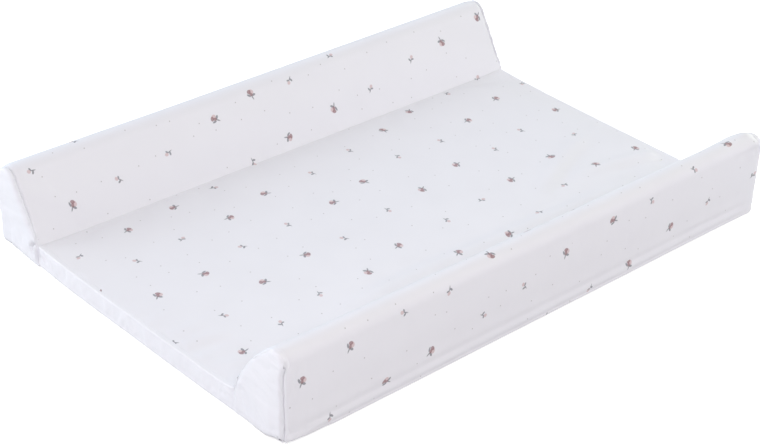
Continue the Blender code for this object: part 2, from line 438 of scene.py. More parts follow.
def grid_builder(columns, rows, place, flat_place=None):
    """A bmesh grid whose points are carried to place(column, row)."""
    builder = bmesh.new()
    bmesh.ops.create_grid(builder, x_segments=columns - 1, y_segments=rows - 1, size=0.5)
    numbers = {}
    for vert in builder.verts:
        column = round((vert.co.x + 0.5) * (columns - 1))
        row = round((vert.co.y + 0.5) * (rows - 1))
        numbers[vert] = (column, row)
    if flat_place:
        layer = builder.loops.layers.uv.new(film_map)
        for face in builder.faces:
            for loop in face.loops:
                loop[layer].uv = flat_place(*numbers[loop.vert])
    for vert, (column, row) in numbers.items():
        vert.co = place(column, row)
    return builder


def new_piece(name, builder, outward=None):
    """Turn a bmesh into an object that rides on the mat's only body."""
    if outward is not None:
        builder.normal_update()
        total = Vector()
        for face in builder.faces:
            total += face.normal * face.calc_area()
        if total.dot(outward) < 0:
            bmesh.ops.reverse_faces(builder, faces=builder.faces)
    mesh = bpy.data.meshes.new(name)
    builder.to_mesh(mesh)
    builder.free()
    mesh.shade_smooth()
    piece = bpy.data.objects.new(name, mesh)
    bpy.context.collection.objects.link(piece)
    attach(piece, "root")
    return piece


def bar_builder(columns, rows, place):
    """A closed bar: a grid rolled up until its long edges meet, with its ends filled."""
    builder = grid_builder(columns, rows, place)
    bmesh.ops.remove_doubles(builder, verts=builder.verts, dist=1e-6)
    rims = [edge for edge in builder.edges if len(edge.link_faces) == 1]
    bmesh.ops.holes_fill(builder, edges=rims, sides=0)
    bmesh.ops.recalc_face_normals(builder, faces=builder.faces)
    return builder


def give_thickness(piece, thickness):
    """Thicken a sheet inwards, so its outer face stays where it is."""
    wall = piece.modifiers.new("thickness", "SOLIDIFY")
    wall.thickness = thickness
    wall.offset = -1.0


def points_of(piece):
    """The piece's points as an array."""
    points = np.empty(len(piece.data.vertices) * 3)
    piece.data.vertices.foreach_get("co", points)
    return points.reshape(-1, 3)


def normals_of(piece):
    """The outward direction at each point."""
    normals = np.empty(len(piece.data.vertices) * 3, dtype=np.float32)
    piece.data.vertex_normals.foreach_get("vector", normals)
    return normals.reshape(-1, 3).astype(float)


def put_points(piece, points):
    """Move the piece's points."""
    piece.data.vertices.foreach_set("co", np.asarray(points, dtype=np.float32).ravel())
    piece.data.update()


# %% [markdown]
# ## The printed top panel
# On the real mat this is one piece of coated film, cut flat and welded round its edges.
# A grid is laid over the outline row by row. Rows stand closer together near the ends,
# where the film puckers at the weld. The grid's flat pattern is kept as a UV map in
# metres, so the print is drawn on the flat film, as on the real one, and follows every
# curve without stretching.

# %% Lay the film over the outline
film_rows = 179
row_crowding = 1.5


def row_place(row):
    """How far along the mat a row of the grid lies, closer together near the ends."""
    share = 2 * row / (film_rows - 1) - 1
    return math.copysign(film_end * (1 - (1 - abs(share)) ** row_crowding), share)


film_sections = [full_outline(fullness_at(row_place(row)), fine_steps) for row in range(film_rows)]


def film_point(column, row):
    """A point of the film on the straight mat."""
    point = film_sections[row][column]
    return Vector((point.x, row_place(row), point.y))


def film_flat_place(column, row):
    """The same point on the flat, uncut film."""
    return (end_lengths[column] - end_lengths[middle_column], row_place(row))


film_columns = len(end_line)
film_builder = grid_builder(film_columns, film_rows, film_point, film_flat_place)
top_film = new_piece("top_film", film_builder, Vector((0.0, 0.0, 1.0)))
film_flat = np.empty((len(top_film.data.vertices), 2))
film_uv = np.empty(len(top_film.data.loops) * 2)
film_corner = np.empty(len(top_film.data.loops), dtype=int)
top_film.data.uv_layers[film_map].data.foreach_get("uv", film_uv)
top_film.data.loops.foreach_get("vertex_index", film_corner)
film_flat[film_corner] = film_uv.reshape(-1, 2)
film_start = points_of(top_film)
film_outward = normals_of(top_film)
print("top film:", film_columns, "columns,", film_rows, "rows")

# %% [markdown]
# ## The end panels
# Two plain caps close the wedges at each end, with a low strip between them. Each is a
# grid too, whose columns stand between the floor and the outline. The film is a little
# larger than its opening, so a cloth simulation with a soft pressure from inside, its
# edges held by the weld, gives it the slight dome and the shallow puckers of the
# real panels.

# %% Stand the end panels up
cap_columns = 84
cap_rows = 54
strip_columns = 241
strip_rows = 19
panel_end = half_length
panel_foot = 0.0001
end_tops = {}
for side, wedge in wedges.items():
    end_tops[side] = joined(half_outline(wedge, 0.0, fine_steps), ["foot", "slope", "ridge"])


def outline_levels(side, x):
    """The lowest and highest level of the end outline at a distance from the middle."""
    tops = end_tops[side]
    high = float(np.interp(x, [point.x for point in tops], [point.y for point in tops]))
    over = max(0.0, x - half_width + roll_radius) / roll_radius
    round_share = 1 - math.sqrt(max(0.0, 1 - over ** 2))
    low = panel_foot + (hem_level + roll_radius - panel_foot) * round_share
    return low, high


def cap_point(side, end, column, row):
    """A point of an end cap, whose points stand closer together near the weld."""
    wedge = wedges[side]
    step = column / (cap_columns - 1)
    share = 0.45 * step + 0.55 * math.sin(step * math.pi / 2)
    foot_x = half_width - wedge["base"]
    x = foot_x + (half_width - foot_x) * share
    low, high = outline_levels(side, x)
    rise = row / (cap_rows - 1)
    level = low + (high - low) * (0.5 * rise + 0.5 * math.sin(rise * math.pi / 2))
    return Vector((x * side, panel_end * end, level))


def strip_point(end, column, row):
    """A point of the low strip between the caps."""
    left = left_wedge["base"] - half_width
    right = half_width - right_wedge["base"]
    x = left + (right - left) * column / (strip_columns - 1)
    level = panel_foot + (pad_thickness - panel_foot) * row / (strip_rows - 1)
    return Vector((x, panel_end * end, level))


side_names = {-1: "left", 1: "right"}
end_names = {-1: "front", 1: "back"}
caps = {}
strips = {}
for end, end_name in end_names.items():
    endward = Vector((0.0, end, 0.0))
    builder = grid_builder(
        strip_columns, strip_rows, lambda column, row: strip_point(end, column, row),
    )
    strips[end] = new_piece("strip_film_" + end_name, builder, endward)
    for side, side_name in side_names.items():
        builder = grid_builder(
            cap_columns, cap_rows, lambda column, row: cap_point(side, end, column, row),
        )
        caps[side, end] = new_piece("cap_film_" + side_name + "_" + end_name, builder, endward)
print("end panels:", [piece.name for piece in (*strips.values(), *caps.values())])

# %% [markdown]
# ### Where the welds lie
# The weld does not run along the very edge of the mat everywhere. Over the left-hand wedge
# and down its side the end panel is drawn well round the corner, and the weld sinks into a
# shallow groove there. Down the right-hand side the corner is turned only slightly, and the
# weld lies just inside it, on the end panel. Over the right-hand slope and ridge it
# stands proud on a sharp edge. Both are given as lists along the outline, and one
# function turns the corner.

# %% Draw the end panels round the corner
turn_radius = 0.0060
# how far past a fully turned corner the weld lies; below zero, on the end panel
turn_shifts = {-1: 0.0002, 1: -0.0090}
turn_reach = 0.012
groove_depth = 0.0002
groove_width = 0.0014
groove_turn = 0.3
sharp_turn = 0.05
# how much of the turn the front and the back end take
end_turns = {-1: 1.0, 1: 0.8}
outline_names = ("flat", "foot", "slope", "ridge", "side", "roll", "hem")
# from the middle of the pad to either hem: how far the corner is turned, and how proud
# the weld stands
outline_turns = {
    -1: (0, 0, 0.4, 0.7, 0.7, 0.7, 0.7, 0.9, 0.9, 0.8, 0),
    1: (0, 0, 0, 0, 0, 0, 0.3, 0.3, 0.3, 0.4, 0),
}
outline_proud = {
    -1: (1, 0.7, 0.3, 0.1, 0.1, 0.1, 0.1, 0.2, 0.3, 0.3, 0),
    1: (1, 1.2, 2.1, 2.1, 1.9, 1.0, 0.3, 0.3, 0.35, 0.35, 0),
}


def outline_places(side):
    """Places along the outline between which its lists run."""
    starts = [stretch_start(side, name) for name in outline_names]
    slope, ridge, side_start = starts[2:5]
    return sorted([*starts, slope + 0.020, ridge + 0.015, ridge + 0.024, side_start + 0.010])


def along_outline(places, lists):
    """Read a pair of lists at places along the outline, measured from its middle."""
    knots = [-place for place in reversed(outline_places(-1))] + outline_places(1)[1:]
    values = list(reversed(lists[-1])) + list(lists[1])[1:]
    return np.interp(places, knots, values)


def turn_shift(places):
    """The shift of the weld past the corner, on either side of the mat."""
    return np.where(places < 0, turn_shifts[-1], turn_shifts[1])


def round_corner(outward, endward, turn, shift):
    """Where a place by the sharp corner goes when the end panel is drawn round it."""
    under, behind = -outward, -endward
    on_panel = under > behind
    way = np.where(on_panel, under, -behind)
    depth = np.where(on_panel, behind, under)
    beyond = (outward > 0) & (endward > 0)
    way = np.where(beyond, 0.0, way)
    depth = np.where(beyond, -np.hypot(outward, endward), depth)
    shift = shift * turn
    way = way - shift * np.clip(1 - np.abs(way) / turn_reach, 0, 1)
    radius = np.maximum(turn_radius * turn, 1e-7)
    angle = np.clip((way + radius) / (2 * radius), 0, 1) * math.pi / 2
    past_panel = np.maximum(way - radius, 0)
    past_side = np.maximum(-radius - way, 0)
    groove = groove_depth * np.minimum(turn / groove_turn, 1)
    depth = depth + groove * np.exp(-((way + shift) / groove_width) ** 2)
    new_outward = radius * (np.cos(angle) - 1) - past_panel - depth * np.cos(angle)
    new_endward = radius * (np.sin(angle) - 1) - past_side - depth * np.sin(angle)
    kept = beyond & (turn < sharp_turn)
    return np.where(kept, outward, new_outward), np.where(kept, endward, new_endward)


end_samples = resampled(end_line, 0.0005)
end_places = np.array(path_lengths(end_samples)) - cut_width / 2
end_outwards = np.array([tuple(normal) for normal in line_normals(end_samples)])
end_samples = np.array([tuple(point) for point in end_samples])
print("corner turns at the sides:", np.round(along_outline([-0.35, 0.35], outline_turns), 2))

# %% [markdown]
# ## Let the film settle
# Blender's Cloth works out how a thin sheet buckles. The film is held where it is welded:
# round its edges and along the foot of each wedge. It is given a little slack, and a soft
# push from the filling. Twenty frames are enough. The result is read back as points, the
# travel of each point is limited, because foam lies close under the film, and the Cloth
# modifier is taken off again, so what stays is plain mesh.

# %% Run one cloth simulation for all the films
settling_frames = 20


def uneven(points, size, seed):
    """Smooth unevenness between -1 and 1, with waves of about one size."""
    offset = Vector((seed * 3.7, seed * 1.3, seed * 2.9))
    return np.array([noise.noise(Vector(point) / size + offset) for point in points])


def hold_film(piece, grip, slack, pressure, bending, seed_height, seed_size, seed):
    """Give a film its grip, its slack and a first trace of unevenness."""
    group = piece.vertex_groups.new(name="welded")
    for strength in np.unique(grip):
        numbers = [int(number) for number in np.nonzero(grip == strength)[0]]
        group.add(numbers, float(strength), "REPLACE")
    points = points_of(piece)
    trace = uneven(points, seed_size, seed) * seed_height * (1 - grip)
    put_points(piece, points + normals_of(piece) * trace[:, None])
    cloth = piece.modifiers.new("settling", "CLOTH")
    cloth.settings.vertex_group_mass = "welded"
    cloth.settings.quality = 5
    cloth.settings.mass = 0.3
    cloth.settings.tension_stiffness = 15
    cloth.settings.compression_stiffness = 15
    cloth.settings.shear_stiffness = 5
    cloth.settings.bending_stiffness = bending
    cloth.settings.shrink_min = -slack
    cloth.settings.use_pressure = True
    cloth.settings.uniform_pressure_force = pressure
    cloth.settings.effector_weights.gravity = 0.0
    cloth.collision_settings.use_collision = False
    cloth.point_cache.frame_start = 1
    cloth.point_cache.frame_end = settling_frames
    return points


def settled_points(piece):
    """Where the simulation has carried the piece's points."""
    shape = piece.evaluated_get(bpy.context.evaluated_depsgraph_get()).to_mesh()
    points = np.empty(len(shape.vertices) * 3)
    shape.vertices.foreach_get("co", points)
    piece.modifiers.remove(piece.modifiers["settling"])
    return points.reshape(-1, 3)


def limited(start, end, outward, most):
    """The travel from start to end, kept outward of the start and below a limit."""
    travel = end - start
    height = (travel * outward).sum(axis=1)
    along = travel - outward * height[:, None]
    kept = most * np.tanh(np.maximum(height, 0.0) / most)
    length = np.linalg.norm(along, axis=1)
    slide = along * (np.minimum(length, most / 2) / np.maximum(length, 1e-9))[:, None]
    return start + outward * kept[:, None] + slide


loose_grip = 0.04
foot_line = half_width - foot_reach
film_grip = np.full(len(film_start), loose_grip)
film_grip[np.abs(film_start[:, 1]) > film_end - 0.0001] = 1.0
film_grip[np.abs(film_flat[:, 0]) > cut_width / 2 - hem_width] = 1.0
near_foot = np.abs(np.abs(film_start[:, 0]) - foot_line) < 0.004
film_grip[near_foot & (film_start[:, 2] < pad_thickness + 0.004) & (film_grip < 1)] = 0.6


def looseness(points):
    """The film lies loose on the pad and is drawn tight over the wedges' sides."""
    far_out = np.clip((np.abs(points[:, 0]) - foot_line) / 0.060, 0, 1)
    return 1 - 0.75 * far_out


def panel_grip(piece):
    """1 on the welded edge of a panel, and a light hold inside it."""
    points = points_of(piece)
    uses = {}
    for polygon in piece.data.polygons:
        for key in polygon.edge_keys:
            uses[key] = uses.get(key, 0) + 1
    grip = np.full(len(points), loose_grip)
    for key, count in uses.items():
        if count == 1:
            grip[list(key)] = 1.0
    return grip


panel_starts = {}
panel_outwards = {}
panels = [*strips.values(), *caps.values()]
hold_film(top_film, film_grip, 0.003, 0.45, 4.0, 0.0005, 0.060, 1)
for number, piece in enumerate(panels):
    panel_starts[piece.name] = points_of(piece)
    panel_outwards[piece.name] = normals_of(piece)
    hold_film(piece, panel_grip(piece), 0.008, 0.8, 0.5, 0.0003, 0.012, 11 + number)
for frame_number in range(1, settling_frames + 1):
    bpy.context.scene.frame_set(frame_number)
moved = settled_points(top_film)
settled = limited(film_start, moved, film_outward, 0.0018)
put_points(top_film, film_start + (settled - film_start) * looseness(film_start)[:, None])
rise = ((moved - film_start) * film_outward).sum(axis=1)
print("film moved outward, mm:", np.round(np.percentile(rise, [1, 25, 50, 75, 99]) * 1000, 2))
for piece in panels:
    start = panel_starts[piece.name]
    outward = panel_outwards[piece.name]
    moved = settled_points(piece)
    rise = ((moved - start) * outward).sum(axis=1)
    print(piece.name, "moved, mm:", np.round(np.percentile(rise, [1, 50, 99]) * 1000, 2))
    put_points(piece, limited(start, moved, outward, 0.0020))
bpy.context.scene.frame_set(1)

# %% [markdown]
# ## Folds placed one by one
# A simulation gives a fair amount of life, but not the very folds of one mat. Each of
# those is a line on the flat film with a width and a height: a point near the line is
# moved outward or inward along its normal, most at the line and less away from it.

# %% Press folds into the films
def line_distance(flat, line):
    """How far each flat point is from a line of points, and its share along the line."""
    lengths = path_lengths([Vector(point) for point in line])
    best = np.full(len(flat), 1e9)
    share = np.zeros(len(flat))
    for number, (start, end) in enumerate(zip(line, line[1:])):
        start = np.array(start)
        way = np.array(end) - start
        step = np.clip(((flat - start) @ way) / (way @ way), 0, 1)
        away = np.linalg.norm(flat - start - step[:, None] * way, axis=1)
        nearer = away < best
        best[nearer] = away[nearer]
        reached = lengths[number] + step * (lengths[number + 1] - lengths[number])
        share[nearer] = reached[nearer] / lengths[-1]
    return best, share


def fold_height(flat, line, width, height, start_fade=0.25, end_fade=0.25):
    """The height that one fold adds at each flat point."""
    away, share = line_distance(flat, line)
    rise = np.clip(share / max(start_fade, 1e-6), 0, 1)
    fall = np.clip((1 - share) / max(end_fade, 1e-6), 0, 1)
    taper = (rise * rise * (3 - 2 * rise)) * (fall * fall * (3 - 2 * fall))
    return height * taper * np.exp(-(away / width) ** 2)


def press(piece, flat, folds):
    """Move a piece's points along their normals by the sum of its folds."""
    points = points_of(piece)
    total = np.zeros(len(points))
    for fold in folds:
        total += fold_height(flat, *fold)
    put_points(piece, points + normals_of(piece) * total[:, None])
    return total


def on_side(level):
    """The flat place of a level on the right-hand outer side."""
    return stretch_start(1, "side") + (right_wedge["height"] - right_wedge["radius"] - level)


def on_foot(distance):
    """The flat place at a distance from the left-hand foot, towards the pad."""
    return distance - stretch_start(-1, "foot")


def fold_line(place_of, *pairs):
    """A line on the flat film through pairs of a distance or level and a place along the mat."""
    return [(place_of(across), along) for across, along in pairs]


# each fold is a line, a width, a height, and the shares of its length that fade in and out
film_folds = [
    # two long soft folds that run from the back end towards the right-hand wedge
    ([(0.020, 0.315), (0.045, 0.245), (0.066, 0.200), (0.100, 0.130)], 0.012, 0.0040, 0.25, 0.4),
    ([(0.034, 0.318), (0.060, 0.247), (0.084, 0.198), (0.116, 0.128)], 0.007, -0.0016, 0.3, 0.4),
    ([(0.108, 0.345), (0.098, 0.290), (0.087, 0.232), (0.086, 0.190)], 0.009, 0.0034, 0.1, 0.5),
    ([(0.121, 0.345), (0.111, 0.288), (0.101, 0.230)], 0.006, -0.0014, 0.1, 0.5),
    # the roll of slack film along the right-hand foot
    ([(0.128, -0.20), (0.125, -0.08), (0.128, 0.07), (0.136, 0.27)], 0.008, 0.0030, 0.2, 0.2),
    ([(0.113, -0.20), (0.110, -0.08), (0.113, 0.07), (0.121, 0.27)], 0.006, -0.0010, 0.2, 0.2),
    # short lengthwise pulls at the front weld
    ([(0.056, -0.345), (0.058, -0.318), (0.063, -0.285)], 0.0055, 0.0016, 0.1, 0.6),
    ([(0.080, -0.346), (0.083, -0.318), (0.090, -0.280)], 0.0055, 0.0017, 0.1, 0.6),
    ([(0.104, -0.346), (0.108, -0.318), (0.116, -0.280)], 0.0050, 0.0017, 0.1, 0.6),
    ([(0.130, -0.340), (0.136, -0.305), (0.144, -0.260)], 0.0060, 0.0018, 0.2, 0.5),
    ([(0.020, -0.345), (0.021, -0.322), (0.024, -0.300)], 0.0050, 0.0009, 0.1, 0.6),
]
crease_folds = [
    # the left-hand foot is doubled near the front
    (fold_line(on_foot, (0.0075, -0.346), (0.0060, -0.300), (0.0, -0.190)), 0.0018, -0.0010, 0.05, 0.4),
    (fold_line(on_foot, (0.0040, -0.346), (0.0030, -0.300), (0.0, -0.230)), 0.0018, 0.0006, 0.05, 0.4),
    # narrow folds and a pull on the outer side, beside the right-hand cap's seam
    (fold_line(on_side, (0.060, -0.3440), (0.076, -0.3436), (0.094, -0.3425)), 0.0020, 0.0010, 0.3, 0.3),
    (fold_line(on_side, (0.058, -0.3390), (0.074, -0.3382), (0.092, -0.3365)), 0.0026, -0.0010, 0.3, 0.3),
    (fold_line(on_side, (0.072, -0.3340), (0.084, -0.3310), (0.094, -0.3260)), 0.0030, 0.0007, 0.3, 0.5),
    (fold_line(on_side, (0.101, -0.3470), (0.094, -0.3430)), 0.0022, -0.0014, 0.05, 0.5),
    # a long crease and a roll low on the outer side, which go on as far as the seam
    (fold_line(on_side, (0.0170, -0.348), (0.0175, -0.300)), 0.0035, -0.0012, 0.02, 0.8),
    (fold_line(on_side, (0.0105, -0.348), (0.0105, -0.300)), 0.0030, 0.0010, 0.02, 0.8),
    # the film is turned in above the curled corner
    (fold_line(on_side, (0.0056, -0.348), (0.0058, -0.320), (0.0064, -0.288)), 0.0016, -0.0046, 0.02, 0.6),
    (fold_line(on_side, (0.0024, -0.348), (0.0024, -0.320), (0.0030, -0.295)), 0.0016, -0.0012, 0.02, 0.6),
    # darts at the back corner of the right-hand ridge
    (fold_line(on_side, (0.098, 0.347), (0.094, 0.330), (0.088, 0.310)), 0.0026, -0.0012, 0.05, 0.5),
    (fold_line(on_side, (0.092, 0.347), (0.086, 0.333), (0.080, 0.318)), 0.0026, 0.0012, 0.05, 0.5),
    (fold_line(on_side, (0.103, 0.347), (0.101, 0.328), (0.098, 0.303)), 0.0028, 0.0011, 0.05, 0.5),
    (fold_line(on_side, (0.110, 0.347), (0.112, 0.330), (0.113, 0.312)), 0.0026, -0.0009, 0.05, 0.5),
]
pressed = press(top_film, film_flat, film_folds + crease_folds)
print("folds:", len(film_folds) + len(crease_folds))
print("highest fold, mm:", round(float(pressed.max()) * 1000, 2))

# %% [markdown]
# ### Puckers along the welds
# A weld shrinks the film a little along its length, so short puckers stand across it
# and die away within two or three centimetres. Noise that is stretched away from the weld
# gives them uneven spacing and length.

# %% Pucker the films at their welds
pucker_spacing = 0.009
pucker_zone = 0.080


def pucker_heights(along, away, spacing, reach, height, seed):
    """Short ridges across a weld: waves along it that fade with the distance from it."""
    waves = np.array([
        noise.noise(Vector((place / spacing, gap / (reach * 2.5), seed * 5.1)))
        for place, gap in zip(along, away)
    ])
    strength = np.array([
        0.55 + 0.9 * max(0.0, noise.noise(Vector((place / (spacing * 6), seed * 2.3, 0.5))))
        for place in along
    ])
    near = 1 - np.exp(-(away / 0.003) ** 2)
    return height * waves * strength * near * np.exp(-away / reach)


def pucker_film(piece):
    """Pucker the top film along both end welds, and let it stand up behind them."""
    points = points_of(piece)
    outward = normals_of(piece)
    total = np.zeros(len(points))
    places = [0.0, foot_line, foot_line + 0.015]
    puff = np.interp(np.abs(film_start[:, 0]), places, [0.0003, 0.0003, 0.0012])
    for end in (-1, 1):
        away = film_end - film_flat[:, 1] * end
        near = away < pucker_zone
        gap = away[near]
        heights = pucker_heights(film_flat[near, 0], gap, pucker_spacing, 0.011, 0.0010, 3 + end)
        stand_up = 1 - np.exp(-(gap / 0.0045) ** 2)
        total[near] += heights + puff[near] * stand_up * np.exp(-gap / 0.025)
    put_points(piece, points + outward * total[:, None])


def distances(points, line):
    """How far each point is from the nearest point of a line."""
    line = np.array([tuple(point) for point in line])
    return np.sqrt(((points[:, None, :] - line[None, :, :]) ** 2).sum(axis=2)).min(axis=1)


def fill_panel(piece, seed, dome, edge, height):
    """Dome an end panel between its edges and pucker it along its upper weld."""
    points = points_of(piece)
    outward = normals_of(piece)
    flat = points[:, [0, 2]]
    rim = distances(flat, flat[(panel_grip(piece) > 0.9) & (flat[:, 1] > 0.003)])
    domed = dome * np.sqrt(1 - (1 - np.minimum(rim / edge, 1)) ** 2)
    upper = distances(flat, resampled(end_line, 0.001))
    along = flat[:, 0] + flat[:, 1] * 0.3
    puckers = pucker_heights(along, upper, pucker_spacing, 0.010, height, seed)
    above_floor = np.clip((flat[:, 1] - 0.004) / 0.008, 0, 1)
    inside = np.minimum(rim / 0.003, 1.0)
    points += outward * (domed * foot_share(flat[:, 1]) + puckers * above_floor * inside)[:, None]
    put_points(piece, points)


def foot_share(level):
    """At the floor a panel stands out about half as far as higher up."""
    return 0.5 + 0.5 * np.clip(level / 0.008, 0, 1)


pucker_film(top_film)
for number, (piece, dome, edge, height) in enumerate((
    (strips[-1], 0.0008, 0.0040, 0.0008), (strips[1], 0.0010, 0.0040, 0.0008),
    (caps[1, -1], 0.0045, 0.0052, 0.0004), (caps[-1, -1], 0.0048, 0.0075, 0.0004),
    (caps[1, 1], 0.0040, 0.0060, 0.0005), (caps[-1, 1], 0.0040, 0.0060, 0.0005),
)):
    fill_panel(piece, 21 + number, dome, edge, height)

# %% [markdown]
# ### Creases in the end panels
# Where strip and cap meet, the film is gathered, and the same pressing of lines serves
# there. A panel's own flat pattern is its picture from the front, across and up.

# %% Crease the end panels where the film is gathered
def panel_flat(piece):
    """A panel's own flat coordinates, across and up."""
    return points_of(piece)[:, [0, 2]]


press(caps[-1, -1], panel_flat(caps[-1, -1]), [
    ([(-0.1722, 0.0285), (-0.1764, 0.0215), (-0.1735, 0.0155)], 0.0014, -0.0032, 0.1, 0.3),
    ([(-0.1800, 0.0280), (-0.1805, 0.0200), (-0.1775, 0.0120)], 0.0022, 0.0010, 0.1, 0.4),
    ([(-0.1705, 0.0225), (-0.1700, 0.0140), (-0.1715, 0.0060)], 0.0016, 0.0012, 0.1, 0.4),
    ([(-0.2370, 0.0030), (-0.2220, 0.0032), (-0.2050, 0.0024)], 0.0013, -0.0016, 0.05, 0.5),
])
press(strips[-1], panel_flat(strips[-1]), [
    ([(-0.1650, 0.0225), (-0.1590, 0.0150), (-0.1560, 0.0070)], 0.0024, 0.0014, 0.2, 0.4),
    ([(-0.1590, 0.0225), (-0.1525, 0.0150), (-0.1500, 0.0080)], 0.0020, -0.0011, 0.2, 0.4),
    ([(-0.1480, 0.0220), (-0.1430, 0.0150), (-0.1420, 0.0070)], 0.0022, 0.0009, 0.2, 0.4),
    ([(-0.1330, 0.0225), (-0.1290, 0.0140), (-0.1300, 0.0070)], 0.0026, 0.0012, 0.2, 0.4),
    ([(-0.1180, 0.0225), (-0.1150, 0.0140), (-0.1160, 0.0070)], 0.0022, -0.0008, 0.2, 0.4),
    ([(0.1440, 0.0150), (0.1520, 0.0120), (0.1600, 0.0130)], 0.0040, -0.0010, 0.3, 0.4),
    ([(0.1500, 0.0215), (0.1570, 0.0190), (0.1630, 0.0110)], 0.0026, 0.0010, 0.3, 0.4),
])
press(caps[1, -1], panel_flat(caps[1, -1]), [
    ([(0.1740, 0.0360), (0.1810, 0.0420), (0.1890, 0.0350)], 0.0020, 0.0008, 0.2, 0.5),
    ([(0.1760, 0.0310), (0.1830, 0.0360), (0.1900, 0.0300)], 0.0018, -0.0006, 0.2, 0.5),
])


# %% [markdown]
# ### From the straight mat to the real one
# So far every film was shaped on the straight mat, where normals and distances are simple.
# Now the points beside the welds are carried round the corner, every point goes to where
# it comes to lie, and a Solidify modifier gives the film its thickness, inwards.

# %% Lay the films as the real mat lies and thicken them
weld_zone = 0.022
floor_clearance = 0.0001


def lie_down(piece):
    """Carry every point of a piece to where it comes to lie."""
    for vert in piece.data.vertices:
        vert.co = as_it_lies(vert.co)
        vert.co.z = max(vert.co.z, floor_clearance)
    piece.data.update()


def nearest_sample(flat):
    """The number of the outline's nearest sample to each flat point."""
    gaps = ((flat[:, None, :] - end_samples[None, :, :]) ** 2).sum(axis=2)
    return gaps.argmin(axis=1)


def draw_round(points, numbers, under, ends):
    """Carry points by the welds round the corner."""
    outward = end_outwards[numbers]
    endward = np.abs(points[:, 1]) - half_length
    places = end_places[numbers]
    turn = along_outline(places, outline_turns) * np.where(ends < 0, end_turns[-1], end_turns[1])
    new_outward, new_endward = round_corner(-under, endward, turn, turn_shift(places))
    moved = points.copy()
    moved[:, [0, 2]] += outward * (new_outward + under)[:, None]
    moved[:, 1] += ends * (new_endward - endward)
    return moved


for piece in panels:
    points = points_of(piece)
    flat = points[:, [0, 2]]
    numbers = nearest_sample(flat)
    under = np.linalg.norm(flat - end_samples[numbers], axis=1)
    put_points(piece, draw_round(points, numbers, under, np.sign(points[:, 1])))
points = points_of(top_film)
numbers = np.clip(np.searchsorted(end_places, film_flat[:, 0]), 0, len(end_places) - 1)
near = film_end - np.abs(film_start[:, 1]) < weld_zone
under = np.zeros(near.sum())
points[near] = draw_round(points[near], numbers[near], under, np.sign(film_start[near, 1]))
put_points(top_film, points)
for piece in (top_film, *panels):
    lie_down(piece)
    give_thickness(piece, film_thickness)

# %% [markdown]
# ## The welts
# Where top and end films meet, the welding tool leaves a raised bead with two fine ridges
# and a groove between them. A bevelled curve could carry such a section, but it would lose
# its grip on the outline's corners. Here a small closed section is carried along the end
# outline, as high at each place as the list of the welds says. Its height wavers slightly,
# and the ridge on the top film more so, because the tool never runs quite evenly.

# %% Carry the welt's section along the end outlines
# points round the section: how far out of the mat, and how far past its end
welt_section = [
    (-0.0014, -0.0085), (-0.0003, -0.0052), (0.0004, -0.0038), (0.0007, -0.0031), (0.0006, -0.0024),
    (0.0003, -0.0016), (0.0006, -0.0008), (0.0007, 0.0000), (0.0004, 0.0008), (-0.0002, 0.0014),
    (-0.0010, 0.0018), (-0.0018, 0.0016), (-0.0025, 0.0011), (-0.0031, 0.0004), (-0.0034, -0.0004),
    (-0.0020, -0.0024), (-0.0014, -0.0085),
]
inner_ridge = (2, 3, 4)
most_lift = 1.3


def welt_line():
    """The end outline that the welt covers, from the left roll to the right one."""
    left = joined(half_outline(left_wedge, 0.0, fine_steps))[:-fine_steps["hem"] - 3]
    right = joined(half_outline(right_wedge, 0.0, fine_steps))[:-fine_steps["hem"] - 3]
    return resampled(mirrored(left)[:-1] + right, 0.0020)


welt_points = welt_line()
welt_normals = line_normals(welt_points)
welt_places = np.array(path_lengths(welt_points))
welt_places -= welt_places[-1] / 2 + (stretch_start(-1, "roll") - stretch_start(1, "roll")) / 2
welt_proud = along_outline(welt_places, outline_proud)
welt_turns = along_outline(welt_places, outline_turns)
welt_shifts = turn_shift(welt_places)
welts = {}
for end, end_name in end_names.items():
    def welt_place(column, row):
        outward, endward = welt_section[column]
        waver = noise.noise(Vector((row * 0.35, end * 4.0, 0.0)))
        sway = 0.0002 * noise.noise(Vector((row * 0.13, end * 9.0, 0.0)))
        scale = 1 + 0.15 * waver
        proud = scale * float(welt_proud[row])
        if column in inner_ridge:
            proud *= 0.85 + 0.6 * noise.noise(Vector((row * 0.07, end * 6.0, 1.0)))
        lift = outward * (min(proud, most_lift) if outward > 0 else scale)
        reach = endward * (proud if endward > 0 else scale)
        turn = float(welt_turns[row]) * end_turns[end]
        lift, reach = round_corner(lift, reach, turn, float(welt_shifts[row]))
        point = welt_points[row] + welt_normals[row] * (float(lift) + sway)
        return as_it_lies(Vector((point.x, (half_length + float(reach)) * end, point.y)))

    builder = bar_builder(len(welt_section), len(welt_points), welt_place)
    welts[end] = new_piece("welt_bead_" + end_name, builder)
print("welt:", len(welt_points), "steps along", round(path_lengths(welt_points)[-1], 3), "m")

# %% [markdown]
# ### The upright welts
# Strip and cap are joined by a short weld of their own, which stands upright below each
# wedge's foot. A plain rounded bar is enough, flatter towards the mat than away from it.

# %% Add the short upright welts over the joins
join_welts = {}
join_sides = 12
join_steps = 12
join_half = 0.0022
join_top = pad_thickness - 0.0012
join_heights = {-1: 0.0008, 1: 0.0016}
for end, end_name in end_names.items():
    for side, side_name in side_names.items():
        foot_x = (half_width - wedges[side]["base"]) * side

        def join_place(column, row):
            angle = 2 * math.pi * column / join_sides
            level = hem_level + (join_top - hem_level) * row / join_steps
            waver = 1 + 0.15 * noise.noise(Vector((row * 0.6, side * 3.0, end * 5.0)))
            x = foot_x + join_half * math.cos(angle) * waver
            height = 0.0004 + join_heights[side] * waver * max(-0.3, math.sin(angle))
            return as_it_lies(Vector((x, (half_length + height) * end, level)))

        builder = bar_builder(join_sides + 1, join_steps + 1, join_place)
        join_welts[side, end] = new_piece("join_bead_" + side_name + "_" + end_name, builder)
print("join welts:", len(join_welts))

